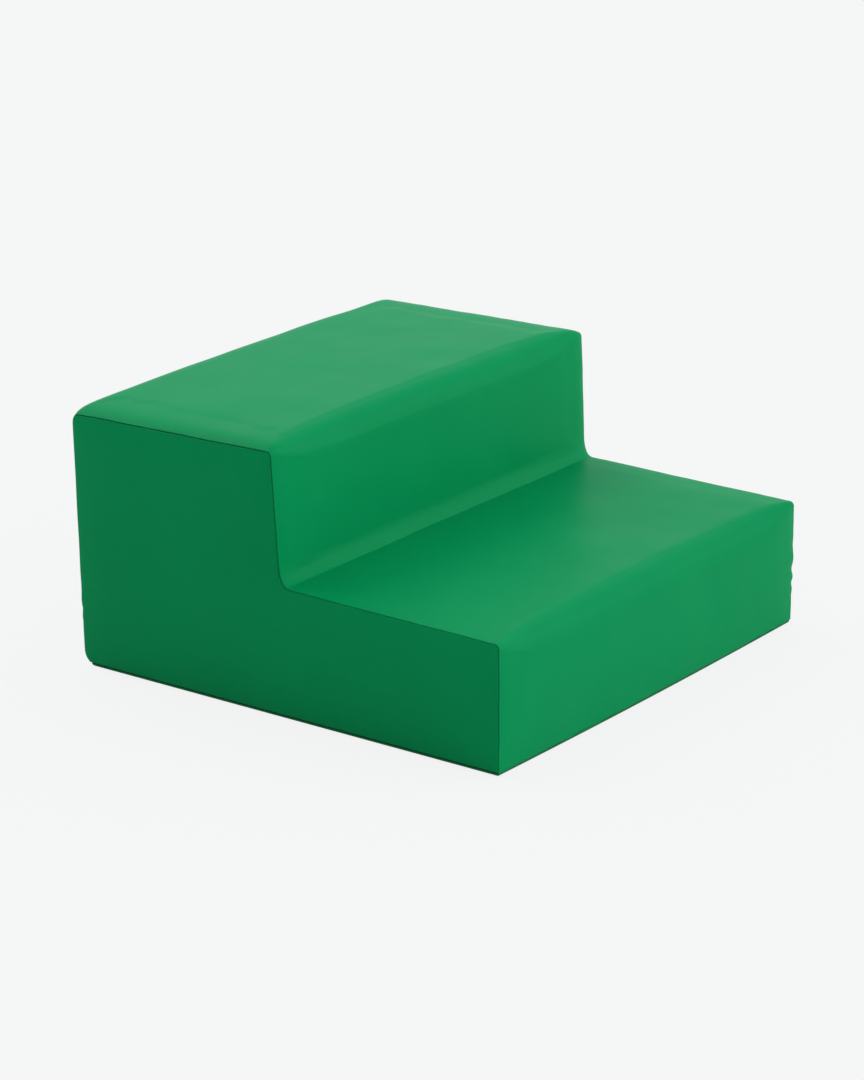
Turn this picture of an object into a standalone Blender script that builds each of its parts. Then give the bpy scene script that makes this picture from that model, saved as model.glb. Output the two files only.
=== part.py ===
"""Soft play foam climber: two glued foam blocks in a sewn vinyl cover that closes with a zip.

Metres, +Z up. The steps face -Y, the back is +Y, and X runs across the steps. The origin lies on
the floor, under the middle of the climber. The zip runs along X, low on the back.
"""

import math

import bmesh
import bpy
from mathutils import Vector

# The climber, measured from seam to seam
seam_width = 0.586
seam_depth = 0.6035
seam_height = 0.3092
tread_height = 0.1530
upper_depth = 0.3035

# Sheet goods and clearances
vinyl_thickness = 0.0008
base_thickness = 0.0012
piece_gap = 0.0003
foam_ease = 0.0006
allowance_depth = 0.005

# How far each face of the cover swells past its seams, and how fast it rises from them
front_crown = 0.004
tread_crown = 0.003
riser_crown = 0.005
top_crown = 0.011
back_crown = 0.005
side_crown = 0.004
seam_roll = 0.010
side_spread = 0.060
roll_share = 0.70
foam_rise_share = 0.8

# How far the cover's pull tilts the faces
riser_lean = 0.005
front_lean = 0.003
tread_tilt = 0.004
top_fall = 0.001

# Fold radii, close to the side seams and halfway across
seam_fold_radius = 0.005
top_back_seam_radius = 0.010
front_fold_radius = 0.026
top_front_fold_radius = 0.028
top_back_fold_radius = 0.014
fold_spread = 0.035
smallest_radius = 0.0012

# The foot of the riser, where the cover bridges the foam's inner corner down to a pressed crease
foot_reach = 0.013
foot_rise = 0.026
foot_lift = 0.011

# Where the cover comes down to the base
base_seam_height = 0.0045
base_rim = 0.0025
base_rim_wall = 0.0012
base_corner_radius = 0.006
heel_reach = 0.008
heel_rise = 0.016
heel_floor_reach = 0.020
front_swell_height = 0.060
back_swell_height = 0.090
foam_edge = 0.006

# The zip. The stations along the slider give its place along the length, and its width there.
zip_height = 0.040
zip_slot = 0.016
tape_width = 0.016
tape_thickness = 0.0006
coil_width = 0.0032
coil_height = 0.0024
coil_shoulder_share = 0.45
neck_thickness = 0.0006
slider_length = 0.017
slider_plate = 0.0013
slider_wall = 0.0011
slider_station_shares = ((-0.5, 0.95), (-0.36, 1.12), (0.0, 1.0), (0.38, 0.92), (0.5, 0.83))
bridge_width = 0.0030
bridge_strip = 0.0011
bridge_length = 0.0105
pull_length = 0.030
pull_width = 0.0090
pull_thickness = 0.0016
pull_bevel = 0.0004
pull_play = 0.0005
stop_length = 0.004
stop_wall = 0.0007
zip_end_margin = 0.022
slider_groove = 0.0015

# How the curved runs are divided, and where the rows across a face and the rings of a side lie
front_steps = 4
tread_steps = 4
riser_steps = 2
top_steps = 4
back_steps = 9
step_steps = 4
floor_steps = 5
toe_steps = 3
fold_steps = 5
foot_steps = 5
heel_steps = 4
coil_steps = 4
rim_steps = 3
corner_steps = 3
bridge_steps = 8
edge_insets = (0.0, 0.004, 0.009)
row_insets = (0.024, 0.060, 0.140)
ring_insets = (0.004, 0.010, 0.022, 0.044)

half_width = seam_width / 2
front_line = -seam_depth / 2
back_line = seam_depth / 2
riser_line = back_line - upper_depth
foam_depth = vinyl_thickness + foam_ease
foam_chamfer = 2 * allowance_depth + foam_ease + max(top_crown, side_crown) / 2
foam_bottom = base_thickness + foam_ease
glue_height = tread_height - foam_depth
seam_shift = piece_gap / math.sqrt(2)
smooth_angle = math.radians(40)
sharp_angle = math.radians(20)


def clear_scene():
    for thing in list(bpy.data.objects):
        bpy.data.objects.remove(thing, do_unlink=True)


def make_material(name, colour, roughness, metallic=0.0):
    material = bpy.data.materials.new(name)
    material.use_nodes = True
    shader = material.node_tree.nodes["Principled BSDF"]
    shader.inputs["Base Color"].default_value = (*colour, 1.0)
    shader.inputs["Roughness"].default_value = roughness
    shader.inputs["Metallic"].default_value = metallic
    return material


def add_object(name, mesh, material):
    piece = bpy.data.objects.new(name, mesh)
    bpy.context.scene.collection.objects.link(piece)
    mesh.materials.append(material)
    return piece


def finish_mesh(name, shape):
    """Turn a bmesh into a mesh, smooth but for its sharp edges."""
    mesh = bpy.data.meshes.new(name)
    shape.to_mesh(mesh)
    shape.free()
    mesh.shade_smooth()
    mesh.set_sharp_from_angle(angle=smooth_angle)
    return mesh


# Runs of points. Each leaves out its last point, where the next run starts.


def straight(start, end, steps):
    return [tuple(a + (b - a) * i / steps for a, b in zip(start, end)) for i in range(steps)]


def arc(centre, radius, first, last, steps):
    """An arc in the Y-Z plane, from the first angle to the last, measured from +Y towards +Z."""
    angles = [first + (last - first) * i / steps for i in range(steps)]
    return [(centre[0] + radius * math.cos(a), centre[1] + radius * math.sin(a)) for a in angles]


def bend(start, control, end, steps):
    """A bend that leaves its start, and reaches its end, along the lines to its control point."""
    points = []
    for i in range(steps):
        t = i / steps
        weights = ((1 - t) ** 2, 2 * t * (1 - t), t**2)
        points.append(
            tuple(sum(w * p[k] for w, p in zip(weights, (start, control, end))) for k in (0, 1))
        )
    return points


# The soft form


def clamped(share):
    return min(max(share, 0.0), 1.0)


def eased(share):
    share = clamped(share)
    return share * share * (3 - 2 * share)


def crown_share(x):
    """The share of a face's crown at x: a quick roll up from each side seam, then a slow dome."""
    inward = max(half_width - abs(x), 0.0)
    roll = 1 - math.exp(-inward / seam_roll)
    dome = 1 - min(abs(x) / half_width, 1.0) ** 2
    return roll_share * roll + (1 - roll_share) * dome


def fold_radius(x, depth, at_seam, halfway):
    inward = max(half_width - abs(x), 0.0)
    radius = at_seam + (halfway - at_seam) * (1 - math.exp(-inward / fold_spread))
    return max(radius - depth, smallest_radius)


def front_at(x, z, depth):
    swell = eased((z - base_seam_height) / front_swell_height)
    return front_line - front_crown * crown_share(x) * swell + depth


def back_at(x, z, depth):
    zip_top = zip_height + zip_slot / 2
    swell = eased((z - zip_top) / back_swell_height)
    return back_line + back_crown * crown_share(x) * swell - depth


def tread_at(x, depth):
    return tread_height + tread_crown * crown_share(x) - depth


def riser_at(x, depth):
    return riser_line - riser_crown * crown_share(x) + depth


def top_at(x, depth):
    return seam_height + top_crown * crown_share(x) - depth


def settled(x, y, z):
    """Where the cover's pull moves a point: the faces tilt a little, and the back keeps its place."""
    low = clamped((z - base_seam_height) / (tread_height - base_seam_height))
    high = clamped((z - tread_height) / (seam_height - tread_height))
    ahead = clamped((riser_line - y) / (riser_line - front_line))
    behind = clamped((y - riser_line) / upper_depth)
    back = riser_lean * high * (1 - behind) - front_lean * low * ahead
    up = tread_tilt * low * (1 - max(ahead, behind)) - top_fall * high * behind
    return x, y + back, z + up


def side_rise(y, z):
    """How far a side panel stands out from its seams at this place on it."""
    behind, under = y - riser_line, tread_height - z
    notch = math.hypot(behind, under)
    if behind <= 0:
        notch = under
    elif under <= 0:
        notch = behind
    distances = (y - front_line, back_line - y, z - base_seam_height, seam_height - z, notch)
    roll = math.prod(1 - math.exp(-max(d, 0.0) / seam_roll) for d in distances)
    dome = math.prod(1 - math.exp(-max(d, 0.0) / side_spread) for d in distances)
    return side_crown * (roll_share * roll + (1 - roll_share) * dome)


def front_runs(x, depth, bottom):
    """The front and the fold at its top, from this height up."""
    radius = fold_radius(x, depth, seam_fold_radius, front_fold_radius)
    top = tread_at(x, depth)
    face = front_at(x, top, depth)
    heights = [z for (z,) in straight((bottom,), (top - radius,), front_steps)]
    front = [(front_at(x, z, depth), z) for z in heights]
    fold = arc((face + radius, top - radius), radius, math.pi, math.pi / 2, fold_steps)
    return front, fold


def upper_runs(x, depth, riser_bottom):
    """The riser from this height up, the top with its two folds, and the height the back starts at."""
    riser, back, top = riser_at(x, depth), back_at(x, top_at(x, depth), depth), top_at(x, depth)
    front_radius = fold_radius(x, depth, seam_fold_radius, top_front_fold_radius)
    back_radius = fold_radius(x, depth, top_back_seam_radius, top_back_fold_radius)
    rise = straight((riser, riser_bottom), (riser, top - front_radius), riser_steps)
    front_fold = arc(
        (riser + front_radius, top - front_radius), front_radius, math.pi, math.pi / 2, fold_steps
    )
    over = straight((riser + front_radius, top), (back - back_radius, top), top_steps)
    back_fold = arc((back - back_radius, top - back_radius), back_radius, math.pi / 2, 0, fold_steps)
    return [rise, front_fold, over, back_fold], top - back_radius


def back_run(x, depth, first, last, steps):
    heights = [z for (z,) in straight((first,), (last,), steps)]
    return [(back_at(x, z, depth), z) for z in heights]


def heel_run(x, depth, bottom):
    """The bend at the bottom of the back, down to this height."""
    share = max(1 - depth / heel_floor_reach, smallest_radius / heel_rise)
    reach, rise = heel_reach * share, heel_rise * share
    back = back_at(x, bottom, depth)
    start, end = (back, bottom + rise), (back - reach, bottom)
    control = (back, bottom + rise * heel_reach / heel_floor_reach)
    return bend(start, control, end, heel_steps) + [end]


def foot_run(x, depth):
    """The bridge from the crease up to the riser. At the side seams it is a plain curve."""
    riser, tread = riser_at(x, depth), tread_at(x, depth)
    lift = foot_lift * (1 - math.exp(-max(half_width - abs(x), 0.0) / fold_spread))
    top = (riser, tread_height + foot_rise)
    return bend(crease_at(x, depth), (riser, tread + lift), top, foot_steps)


def crease_at(x, depth):
    return (riser_line - foot_reach, tread_at(x, depth))


# Sheets and blocks


def add_grid(shape, rows, kept, closed=False, flip=False):
    """Faces between rows of points, where kept(row, column) says so. Returns the rows' vertices."""
    corners = [[shape.verts.new(point) for point in row] for row in rows]
    columns = len(rows[0]) - (0 if closed else 1)
    for i in range(len(rows) - 1):
        for j in range(columns):
            if not kept(i, j):
                continue
            k = (j + 1) % len(rows[0])
            face = [corners[i][j], corners[i + 1][j], corners[i + 1][k], corners[i][k]]
            shape.faces.new(face if flip else face[::-1])
    return corners


def drop_loose(shape):
    loose = [v for v in shape.verts if not v.link_faces]
    bmesh.ops.delete(shape, geom=loose, context="VERTS")


def add_sheet(name, shape, thickness, material):
    """A sheet whose given surface is its outer face. Its thickness is added behind that."""
    drop_loose(shape)
    piece = add_object(name, finish_mesh(name, shape), material)
    wall = piece.modifiers.new("Thickness", "SOLIDIFY")
    wall.thickness = thickness
    wall.offset = -1
    wall.use_rim = True
    return piece


def columns_across(edges):
    """X of each row across, from left to right. The cover and the foam share all but the edges."""
    left = [-half_width + inset for inset in (*edges, foam_chamfer, *row_insets)]
    return left + [0.0] + [-x for x in reversed(left)]


def wrap_rows(path_at):
    """Rows of points for a wrap panel: the left allowance, the rows across, the right allowance."""
    rows = []
    for x in columns_across(edge_insets):
        shift = math.copysign(max(abs(x) + seam_shift - half_width, 0.0), -x)
        rows.append([settled(x + shift, y, z) for y, z in path_at(x, 0.0)])
    turned = half_width - allowance_depth - seam_shift
    for side, place in ((-1, 0), (1, len(rows) + 1)):
        inner = path_at(side * half_width, allowance_depth)
        rows.insert(place, [settled(side * turned, y, z) for y, z in inner])
    return rows


def fold_end(x, depth):
    """Y where the front fold meets the tread."""
    radius = fold_radius(x, depth, seam_fold_radius, front_fold_radius)
    return front_at(x, tread_at(x, depth), depth) + radius


def step_path(x, depth):
    """The tread and the foot of the riser, up to where the riser starts."""
    crease = crease_at(x, depth)
    tread = straight((fold_end(x, depth), crease[1]), crease, tread_steps)
    return tread + foot_run(x, depth)


def wrap_path(x, depth):
    """The front from its bottom up, the tread, the riser, the top, and the back down to the zip."""
    front, fold = front_runs(x, depth, base_seam_height + piece_gap + depth)
    runs, back_start = upper_runs(x, depth, tread_height + foot_rise)
    end = zip_height + zip_slot / 2
    back = back_run(x, depth, back_start, end, back_steps) + [(back_at(x, end, depth), end)]
    return front + fold + step_path(x, depth) + sum(runs, []) + back


def build_wrap(name, path_at, material):
    """A panel that wraps round from one side seam to the other."""
    shape = bmesh.new()
    add_grid(shape, wrap_rows(path_at), lambda i, j: True, flip=True)
    return add_sheet(name, shape, vinyl_thickness, material)


def strip_path(x, depth):
    top, bottom = zip_height - zip_slot / 2, base_seam_height + piece_gap + depth
    heel = heel_run(x, depth, bottom)
    return back_run(x, depth, top, heel[0][1], 1) + heel


def side_outline(depth):
    """A side panel's outline in the seams' plane, this far in from its edge, as a closed ring."""
    x, bottom = half_width, base_seam_height + piece_gap + depth
    front, fold = front_runs(x, depth, bottom)
    runs, back_start = upper_runs(x, depth, tread_height + foot_rise)
    heel = heel_run(x, depth, bottom)
    back = back_run(x, depth, back_start, heel[0][1], back_steps)
    floor = straight(heel[-1], front[0], floor_steps)[1:]
    return front + fold + step_path(x, depth) + sum(runs, []) + back + heel + floor


def build_side_panel(name, side, material):
    """A side panel: its turned allowance, then rings inwards over its crown, closed by a middle."""
    depths = (seam_shift, *ring_insets)
    rings = [[settled(side * half_width, y, z) for y, z in side_outline(seam_shift)]]
    for depth in depths[1:]:
        ring = side_outline(depth)
        rings.append([settled(side * (half_width + side_rise(y, z)), y, z) for y, z in ring])
    inner = side_outline(allowance_depth + seam_shift)
    rings.insert(0, [settled(side * (half_width - allowance_depth), y, z) for y, z in inner])
    floor_cells = range(len(inner) - floor_steps, len(inner))
    shape = bmesh.new()

    def kept(i, j):
        return i > 0 or j not in floor_cells

    corners = add_grid(shape, rings, kept, closed=True, flip=side > 0)
    middle = shape.faces.new(corners[-1][::-1] if side > 0 else corners[-1])
    middle.normal_update()
    bmesh.ops.triangulate(shape, faces=[middle])
    return add_sheet(name, shape, vinyl_thickness, material)


def base_ring(share):
    """A ring of the base panel, from the top of its bend at 0 down to the floor at 1."""
    angle = share * math.pi / 2
    inward, drop = 1 - math.cos(angle), math.sin(angle)
    inset = base_rim * inward
    back = heel_reach + (heel_floor_reach - heel_reach) * inward
    low = (-half_width + inset, front_line + inset)
    high = (half_width - inset, back_line - back)
    radius = max(base_corner_radius * share, piece_gap)
    height = (base_seam_height - base_rim_wall) * (1 - drop)
    corners = (
        (high[0] - radius, high[1] - radius, 0),
        (low[0] + radius, high[1] - radius, 1),
        (low[0] + radius, low[1] + radius, 2),
        (high[0] - radius, low[1] + radius, 3),
    )
    ring = []
    for cx, cy, quarter in corners:
        for i in range(corner_steps + 1):
            a = (quarter + i / corner_steps) * math.pi / 2
            ring.append((cx + radius * math.cos(a), cy + radius * math.sin(a), height))
    return ring


def build_base_panel(material):
    rings = [base_ring(i / rim_steps) for i in range(rim_steps + 1)]
    rings.insert(0, [(x, y, base_seam_height) for x, y, _ in rings[0]])
    shape = bmesh.new()
    corners = add_grid(shape, rings, lambda i, j: True, closed=True, flip=True)
    shape.faces.new(corners[-1][::-1])
    return add_sheet("base_panel", shape, base_thickness, material)


def groove_depth():
    """How far under the cover the foam gives way to the zip's tapes and the slider behind them."""
    return vinyl_thickness + tape_thickness + slider_plate + slider_groove


def lower_block_path(x, depth, inset):
    """The lower block's outline, this far under the cover and drawn in, as a closed ring."""
    under = depth + inset
    bottom, edge = foam_bottom + inset, foam_edge
    front, fold = front_runs(x, under, bottom + edge)
    start = (front_at(x, bottom, under) + edge, bottom)
    toe = bend(start, (start[0] - edge, bottom), front[0], toe_steps)
    step = (riser_at(x, under) - foam_ease, tread_at(x, under))
    tread = straight((fold_end(x, under), step[1]), step, tread_steps) + [step]
    glue = [(step[0], glue_height), (back_at(x, glue_height, under), glue_height)]
    reach = tape_width + 2 * piece_gap
    sunk = max(groove_depth(), under)
    slope = groove_depth() - foam_depth
    heel_end = (back_line - max(heel_floor_reach, under + edge), bottom)
    heel_top = (back_line - under, min(bottom + heel_rise, zip_height - reach - foam_ease))
    cut = (heel_top[0] - edge / 2, bottom + edge / 2)
    heel = bend(heel_top, cut, heel_end, heel_steps) + [heel_end]
    groove = [
        (back_at(x, zip_height + reach + slope, under), zip_height + reach + slope),
        (back_line - sunk, zip_height + reach),
        (back_line - sunk, zip_height - reach),
    ]
    back = back_run(x, under, glue_height, groove[0][1], step_steps)[1:]
    floor = straight(heel[-1], start, floor_steps)[1:]
    return toe + front + fold + tread + glue + back + groove + heel + floor


def upper_block_path(x, depth, inset):
    """The upper block's outline, this far under the cover and drawn in, as a closed ring."""
    under = depth + inset
    bottom = glue_height + piece_gap
    runs, back_start = upper_runs(x, under, bottom)
    back = back_run(x, under, back_start, bottom, back_steps)
    corner = (back_at(x, bottom, under), bottom)
    floor = straight(corner, runs[0][0], floor_steps)
    return sum(runs, []) + back + floor


def build_foam(name, path_at, material):
    """A foam block under the cover, its edges cut back along the side seams."""
    columns = columns_across(())
    rings = [[settled(x, y, z) for y, z in path_at(x, foam_depth, 0.0)] for x in columns]
    for side, end in ((-1, 0), (1, len(rings) + 1)):
        path = path_at(side * half_width, foam_depth, foam_chamfer - foam_depth)
        reach = half_width - foam_depth
        cap_x = [side * (reach + foam_rise_share * side_rise(y, z)) for y, z in path]
        rings.insert(end, [settled(x, y, z) for x, (y, z) in zip(cap_x, path)])
    shape = bmesh.new()
    corners = add_grid(shape, rings, lambda i, j: True, closed=True)
    ends = [shape.faces.new(corners[0]), shape.faces.new(corners[-1])]
    for end in ends:
        end.normal_update()
    bmesh.ops.triangulate(shape, faces=ends)
    bmesh.ops.recalc_face_normals(shape, faces=shape.faces)
    return add_object(name, finish_mesh(name, shape), material)


# The zip


def tape_face():
    """Y of the tapes' outer face."""
    return back_line - vinyl_thickness - piece_gap


def neck_slot():
    return neck_thickness + 2 * piece_gap


def add_box(shape, low, high, bevel=0.0):
    made = bmesh.ops.create_cube(shape, size=1.0)["verts"]
    size = [b - a for a, b in zip(low, high)]
    middle = [(a + b) / 2 for a, b in zip(low, high)]
    bmesh.ops.scale(shape, vec=size, verts=made)
    bmesh.ops.translate(shape, vec=middle, verts=made)
    if bevel:
        edges = list({edge for vert in made for edge in vert.link_edges})
        bmesh.ops.bevel(
            shape, geom=edges, offset=bevel, segments=1, affect="EDGES", profile=0.5, material=-1
        )


def add_block(name, low, high, material, bevel=0.0):
    shape = bmesh.new()
    add_box(shape, low, high, bevel)
    return add_object(name, finish_mesh(name, shape), material)


def extrude_profile(name, profile, start, end, material):
    """A Y-Z profile carried along X from start to end."""
    shape = bmesh.new()
    face = shape.faces.new([shape.verts.new((start, y, z)) for y, z in profile])
    made = bmesh.ops.extrude_face_region(shape, geom=[face])["geom"]
    moved = [item for item in made if isinstance(item, bmesh.types.BMVert)]
    bmesh.ops.translate(shape, vec=(end - start, 0, 0), verts=moved)
    bmesh.ops.recalc_face_normals(shape, faces=shape.faces)
    return add_object(name, finish_mesh(name, shape), material)


def zip_reach():
    """How far from the middle the tapes run, clear of the turned allowances."""
    return half_width - allowance_depth - 2 * vinyl_thickness - 2 * piece_gap


def coil_end():
    """How far from the middle the coils run, up to the stops."""
    return half_width - zip_end_margin


def build_tape(name, side, material):
    near, far = side * neck_slot() / 2, side * tape_width
    low = (-zip_reach(), tape_face() - tape_thickness, zip_height + min(near, far))
    high = (zip_reach(), tape_face(), zip_height + max(near, far))
    return add_block(name, low, high, material)


def build_coil(name, side, material):
    """Half of the chain: a rounded bar on its tape, beside the slot that the slider's neck runs in."""
    base, inner = tape_face() + piece_gap, neck_slot() / 2
    profile = [(base, zip_height + side * inner)]
    for i in range(coil_steps + 1):
        angle = math.pi * i / coil_steps
        across = inner + coil_width * (1 - math.cos(angle)) / 2
        height = coil_height * (coil_shoulder_share + (1 - coil_shoulder_share) * math.sin(angle))
        profile.append((base + height, zip_height + side * across))
    profile.append((base, zip_height + side * (inner + coil_width)))
    return extrude_profile(name, profile, -coil_end(), coil_end(), material)


def coil_outer():
    return neck_slot() / 2 + coil_width


def coil_top():
    return tape_face() + piece_gap + coil_height


def build_top_stop(name, side, material):
    """A top stop, clamped over the tape's edge at the closed end of its coil."""
    inner, outer = neck_slot() / 2, coil_outer() + stop_wall
    low_z, high_z = sorted((zip_height + side * inner, zip_height + side * outer))
    end = -coil_end() - piece_gap
    low = (end - stop_length, tape_face() + piece_gap, low_z)
    high = (end, coil_top() + stop_wall, high_z)
    return add_block(name, low, high, material, bevel=pull_bevel)


def build_bottom_stop(material):
    reach = coil_outer() + stop_wall
    start = coil_end() + piece_gap
    low = (start, tape_face() + piece_gap, zip_height - reach)
    high = (start + stop_length, coil_top() + stop_wall, zip_height + reach)
    return add_block("zip_bottom_stop", low, high, material, bevel=pull_bevel)


def slider_place():
    """X of the slider's middle with the zip closed, up against the top stops."""
    return -coil_end() + slider_length / 2 + piece_gap


def slider_section(width_share):
    """The slider's closed Y-Z section: back plate, neck, front plate and the walls round the coils."""
    back_face = tape_face() - tape_thickness - piece_gap
    front_face = coil_top() + piece_gap
    wall_low = tape_face() + piece_gap
    inner = coil_outer() + piece_gap
    outer = (inner + slider_wall) * width_share
    neck = neck_thickness / 2
    half = [
        (back_face - slider_plate, outer),
        (back_face, outer),
        (back_face, neck),
        (front_face, neck),
        (front_face, inner),
        (wall_low, inner),
        (wall_low, outer),
        (front_face + slider_plate / 2, outer),
        (front_face + slider_plate, outer - slider_plate / 2),
    ]
    other = [(y, -z) for y, z in reversed(half)]
    return [(y, zip_height + z) for y, z in half + other]


def bridge_axis():
    """Y of the pull's hinge, close over the slider's front plate."""
    return coil_top() + piece_gap + slider_plate + pull_play + pull_thickness / 2


def build_slider(material):
    """The slider body, its bridge joined on by a union. Its origin is on the pull's hinge."""
    middle = slider_place()
    inside = coil_outer() + piece_gap
    smallest = (inside + slider_wall / 2) / (inside + slider_wall)
    rows = []
    for share, width in slider_station_shares:
        section = slider_section(max(width, smallest))
        rows.append([(middle + share * slider_length, y, z) for y, z in section])
    shape = bmesh.new()
    corners = add_grid(shape, rows, lambda i, j: True, closed=True)
    shape.faces.new(corners[0])
    shape.faces.new(corners[-1])
    bmesh.ops.recalc_face_normals(shape, faces=shape.faces)
    slider = add_object("zip_slider", finish_mesh("zip_slider", shape), material)
    union = slider.modifiers.new("Bridge", "BOOLEAN")
    union.operation = "UNION"
    union.object = build_bridge(middle, material)
    set_origin(slider, Vector((middle, bridge_axis(), zip_height)))
    return slider


def build_bridge(middle, material):
    """The arch on the slider that holds the pull, sunk a little into the front plate."""
    plate = coil_top() + piece_gap + slider_plate
    rise = pull_thickness + 2 * pull_play
    rows = []
    for i in range(bridge_steps + 1):
        angle = math.pi * (1 - i / bridge_steps)
        inner = (bridge_length / 2 - bridge_strip, rise)
        outer = (bridge_length / 2, rise + bridge_strip)
        row = []
        for (reach, height), side in ((inner, -1), (outer, -1), (outer, 1), (inner, 1)):
            x = middle + reach * math.cos(angle)
            y = plate + height * math.sin(angle)
            row.append((x, y, zip_height + side * bridge_width / 2))
        rows.append(row)
    feet = [[(x, plate - slider_plate / 2, z) for x, _, z in row] for row in (rows[0], rows[-1])]
    rows = [feet[0], *rows, feet[1]]
    shape = bmesh.new()
    corners = add_grid(shape, rows, lambda i, j: True, closed=True)
    shape.faces.new(corners[0])
    shape.faces.new(corners[-1])
    bmesh.ops.recalc_face_normals(shape, faces=shape.faces)
    bridge = add_object("bridge_cutter", finish_mesh("bridge_cutter", shape), material)
    bridge.hide_render = True
    bridge.display_type = "WIRE"
    return bridge


def set_origin(piece, place):
    for vert in piece.data.vertices:
        vert.co -= place
    piece.location = place


def build_pull(material):
    """The pull tab: a plate with an eye whose end bar turns under the slider's bridge."""
    middle, axis = slider_place(), bridge_axis()
    bar = pull_thickness / 2
    arm_inner = bridge_width / 2 + piece_gap
    eye_end = middle + bridge_length / 2 + 2 * piece_gap
    half = pull_width / 2
    outline = [
        (middle - bar, -half),
        (middle + pull_length - half, -half),
        (middle + pull_length - bar, -half / 2),
        (middle + pull_length, 0.0),
        (middle + pull_length - bar, half / 2),
        (middle + pull_length - half, half),
        (middle - bar, half),
    ]
    shape = bmesh.new()
    add_plate(shape, outline, axis - bar, axis + bar)
    edges = [edge for edge in shape.edges if edge.calc_face_angle(0) > sharp_angle]
    bmesh.ops.bevel(
        shape, geom=edges, offset=pull_bevel, segments=1, affect="EDGES", profile=0.5, material=-1
    )
    pull = add_object("zip_pull", finish_mesh("zip_pull", shape), material)
    eye = bmesh.new()
    add_box(
        eye,
        (middle + bar, axis - pull_width, zip_height - arm_inner),
        (eye_end, axis + pull_width, zip_height + arm_inner),
    )
    cutter = add_object("eye_cutter", finish_mesh("eye_cutter", eye), material)
    cutter.hide_render = True
    cutter.display_type = "WIRE"
    hole = pull.modifiers.new("Eye", "BOOLEAN")
    hole.operation = "DIFFERENCE"
    hole.object = cutter
    set_origin(pull, Vector((middle, axis, zip_height)))
    return pull


def add_plate(shape, outline, low, high):
    """A flat plate in the X-Z plane from its outline, between two values of Y."""
    face = shape.faces.new([shape.verts.new((x, low, zip_height + z)) for x, z in outline])
    made = bmesh.ops.extrude_face_region(shape, geom=[face])["geom"]
    moved = [item for item in made if isinstance(item, bmesh.types.BMVert)]
    bmesh.ops.translate(shape, vec=(0, high - low, 0), verts=moved)
    bmesh.ops.recalc_face_normals(shape, faces=shape.faces)


def build_climber():
    vinyl = make_material("green_vinyl", (0.010, 0.235, 0.075), 0.36)
    foam = make_material("cream_foam", (0.72, 0.66, 0.50), 0.95)
    base = make_material("dark_base_fabric", (0.008, 0.150, 0.050), 0.85)
    tape = make_material("green_zip_tape", (0.012, 0.150, 0.055), 0.90)
    coil = make_material("green_nylon_coil", (0.014, 0.180, 0.065), 0.40)
    metal = make_material("zip_metal", (0.55, 0.55, 0.54), 0.30, 1.0)
    build_foam("foam_lower_block", lower_block_path, foam)
    build_foam("foam_upper_block", upper_block_path, foam)
    build_side_panel("left_side_panel", -1, vinyl)
    build_side_panel("right_side_panel", 1, vinyl)
    build_wrap("wrap_panel", wrap_path, vinyl)
    build_wrap("back_lower_strip", strip_path, vinyl)
    build_base_panel(base)
    for side, word in ((1, "upper"), (-1, "lower")):
        build_tape(f"zip_tape_{word}", side, tape)
        build_coil(f"zip_coil_{word}", side, coil)
        build_top_stop(f"zip_top_stop_{word}", side, metal)
    build_bottom_stop(metal)
    build_slider(metal)
    build_pull(metal)


clear_scene()
build_climber()
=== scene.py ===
"""Soft play foam climber: the sewn vinyl cover, the foam under it, the zip and the studio.

Metres, +Z up. The steps face -Y, the back is +Y, and X runs across the steps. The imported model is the
fixed frame, and each piece here is fitted over it.
"""

import math

import bmesh
import bpy
from bpy.props import FloatProperty, FloatVectorProperty, PointerProperty
from mathutils import Matrix, Vector, noise
from mathutils.bvhtree import BVHTree


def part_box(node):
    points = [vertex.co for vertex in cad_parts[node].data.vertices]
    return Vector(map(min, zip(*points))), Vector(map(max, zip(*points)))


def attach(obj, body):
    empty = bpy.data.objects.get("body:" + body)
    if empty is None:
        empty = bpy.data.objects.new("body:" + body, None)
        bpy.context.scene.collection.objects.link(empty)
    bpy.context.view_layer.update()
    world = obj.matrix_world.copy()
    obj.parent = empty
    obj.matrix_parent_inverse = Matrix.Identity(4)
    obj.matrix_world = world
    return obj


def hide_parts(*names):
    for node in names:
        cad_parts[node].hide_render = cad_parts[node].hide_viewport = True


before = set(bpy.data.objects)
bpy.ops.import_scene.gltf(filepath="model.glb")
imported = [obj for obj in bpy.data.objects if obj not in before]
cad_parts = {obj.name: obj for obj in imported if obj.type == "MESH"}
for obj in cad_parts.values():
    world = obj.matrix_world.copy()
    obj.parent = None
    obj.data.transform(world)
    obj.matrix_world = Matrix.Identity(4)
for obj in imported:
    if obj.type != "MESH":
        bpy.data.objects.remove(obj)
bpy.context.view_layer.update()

bl_info = {
    "name": "Soft Play Foam Climber",
    "version": (1, 0, 0),
    "blender": (4, 5, 0),
    "location": "3D View > Sidebar > Climber",
    "description": "Builds a two-step foam climber in a sewn vinyl cover",
    "category": "Object",
}

BASE_LOW, BASE_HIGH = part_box("base_panel")

# The cover's form, from seam to seam, the same as the frame's
MM = 0.001
SEAM_WIDTH = BASE_HIGH.x - BASE_LOW.x
SEAM_DEPTH = 603.5 * MM
SEAM_HEIGHT = 309.2 * MM
TREAD_HEIGHT = 153 * MM
UPPER_DEPTH = 303.5 * MM
FRONT_CROWN, TREAD_CROWN, RISER_CROWN = 4 * MM, 3 * MM, 5 * MM
TOP_CROWN, BACK_CROWN, SIDE_CROWN = 11 * MM, 5 * MM, 4 * MM
CROWN_ROLL = 10 * MM
SIDE_SPREAD = 60 * MM
ROLL_SHARE = 0.70
RISER_LEAN, FRONT_LEAN, TREAD_TILT, TOP_FALL = 5 * MM, 3 * MM, 4 * MM, 1 * MM
LEAN_SKEW = 2 * MM
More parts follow.
